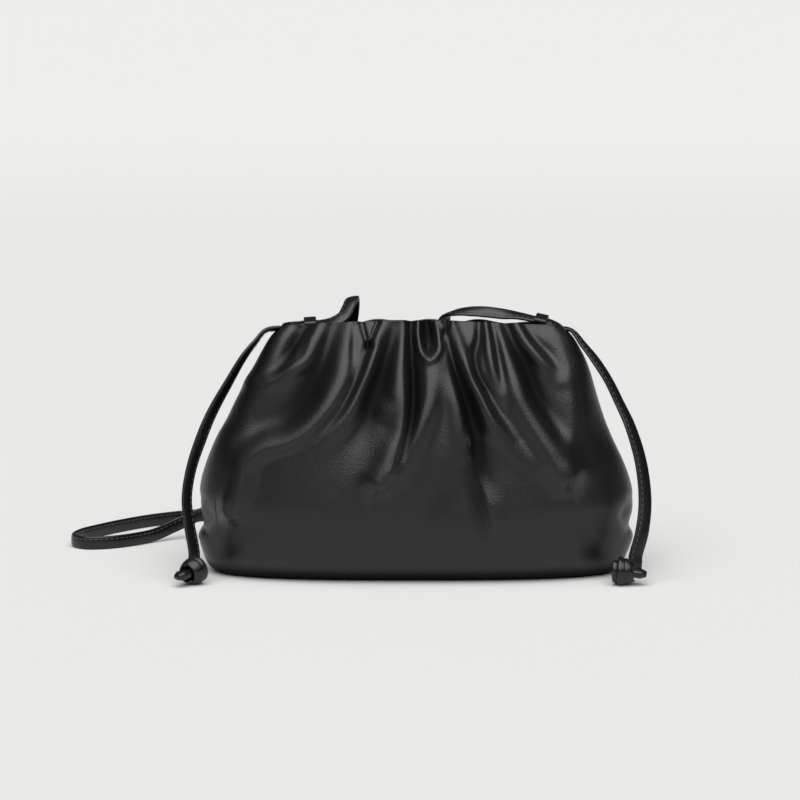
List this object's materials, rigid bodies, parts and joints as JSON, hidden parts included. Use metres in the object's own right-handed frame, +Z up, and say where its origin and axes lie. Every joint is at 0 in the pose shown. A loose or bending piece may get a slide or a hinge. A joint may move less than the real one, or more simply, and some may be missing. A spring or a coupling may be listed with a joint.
{
  "type": "handbag",
  "caption": "Soft black leather pouch bag: bellows-shaped body, gathered open mouth, one flat strap threaded through the rim with knotted ends hanging at both sides; carries small personal things.",
  "frame": {"origin": "on the ground under the middle of the bag's body", "axes": "+X to the viewer's right along the bag's width, +Y away from the viewer through its depth, +Z up"},
  "size_m": [0.3863, 0.2326, 0.1773],
  "materials": {
    "body_leather": "soft smooth nappa, semi-matt, fine grain",
    "strap_leather": "folded and edge-stitched strip, slightly glossier"
  },
  "bodies": {
    "root": {"front_panel": "body_leather", "back_panel": "body_leather", "base_panel": "body_leather", "shoulder_strap": "strap_leather", "strap_tail_left": "strap_leather", "strap_tail_right": "strap_leather", "knot_left": "strap_leather", "knot_right": "strap_leather", "keeper_left": "strap_leather", "keeper_right": "strap_leather"}
  },
  "joints": []
}
